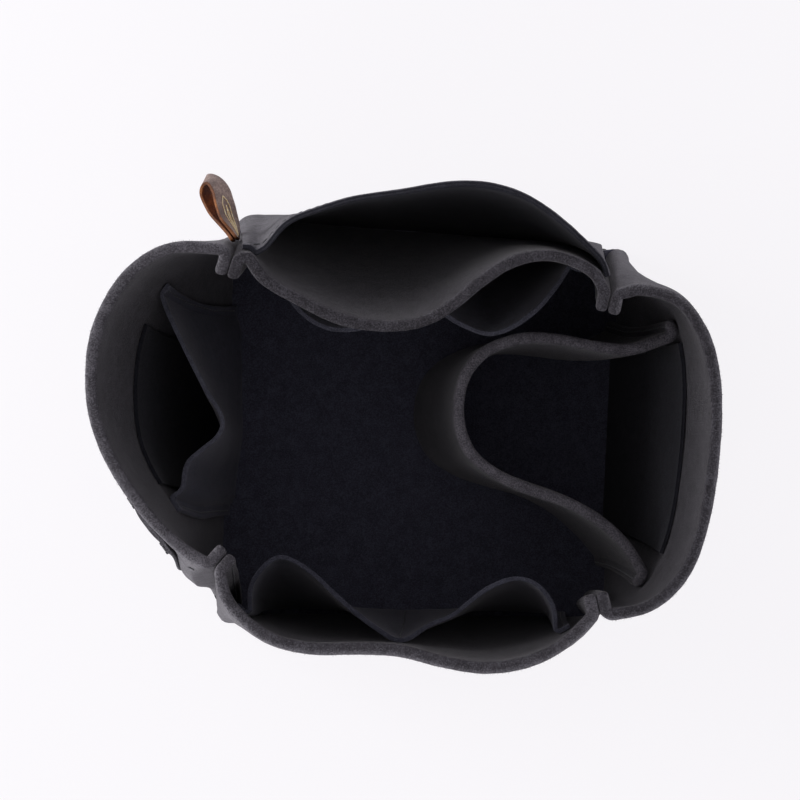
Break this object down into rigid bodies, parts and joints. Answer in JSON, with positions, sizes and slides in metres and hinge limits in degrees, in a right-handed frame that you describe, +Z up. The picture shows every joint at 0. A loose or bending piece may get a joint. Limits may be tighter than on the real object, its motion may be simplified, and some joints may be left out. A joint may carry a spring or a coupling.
{
  "type": "purse organizer insert",
  "caption": "Open felt tub with lining pockets, a thick bottle pocket, an outer back pocket and a leather loop, that stands inside a handbag and sorts its contents.",
  "frame": {"origin": "middle of the bounding box in plan, on the floor under the base", "axes": "+X along the front wall towards the bottle pocket, +Y from the front wall to the outer back pocket, +Z up"},
  "size_m": [0.2612, 0.208, 0.165],
  "materials": {
    "wall_felt": "thick dark grey pressed wool-look felt, matt and slightly fuzzy",
    "pocket_felt": "thin dark grey felt, matt",
    "thread": "dark sewing thread",
    "leather": "taupe-brown leather strap with a tan inner face",
    "loop_thread": "cream sewing thread"
  },
  "bodies": {
    "tub": {"front_wall": "wall_felt", "right_end_wall": "wall_felt", "back_wall": "wall_felt", "left_end_wall": "wall_felt", "base_panel": "wall_felt", "base_edge_stitching": "thread", "bottle_pocket": "wall_felt", "bottle_pocket_start_stitching": "thread", "bottle_pocket_end_stitching": "thread", "left_end_pocket": "pocket_felt", "left_end_pocket_start_stitching": "thread", "left_end_pocket_end_stitching": "thread", "front_slip_pocket": "pocket_felt", "front_slip_pocket_start_stitching": "thread", "front_slip_pocket_end_stitching": "thread", "front_slip_pocket_divider_stitching": "thread", "back_slip_pocket": "pocket_felt", "back_slip_pocket_start_stitching": "thread", "back_slip_pocket_end_stitching": "thread", "back_slip_pocket_divider_stitching": "thread", "left_outer_pocket": "pocket_felt", "left_outer_pocket_start_stitching": "thread", "left_outer_pocket_end_stitching": "thread", "bottle_pocket_backing": "pocket_felt", "left_pocket_backing": "pocket_felt", "left_outer_pocket_start_bar_tack": "thread", "left_outer_pocket_end_bar_tack": "thread", "outer_back_pocket": "pocket_felt", "outer_back_pocket_hem_stitching": "thread", "front_left_seam_stitching": "thread", "front_right_seam_stitching": "thread", "back_right_seam_stitching": "thread", "back_left_seam_stitching": "thread"},
    "loop": {"leather_loop": "leather", "loop_stitching": "loop_thread"}
  },
  "joints": [
    {"name": "loop_hinge", "type": "hinge", "parent": "tub", "child": "loop", "pos_m": [-0.0717, 0.0777, 0.115], "axis": [0, 0, 1], "range_deg": [-10, 30]}
  ]
}
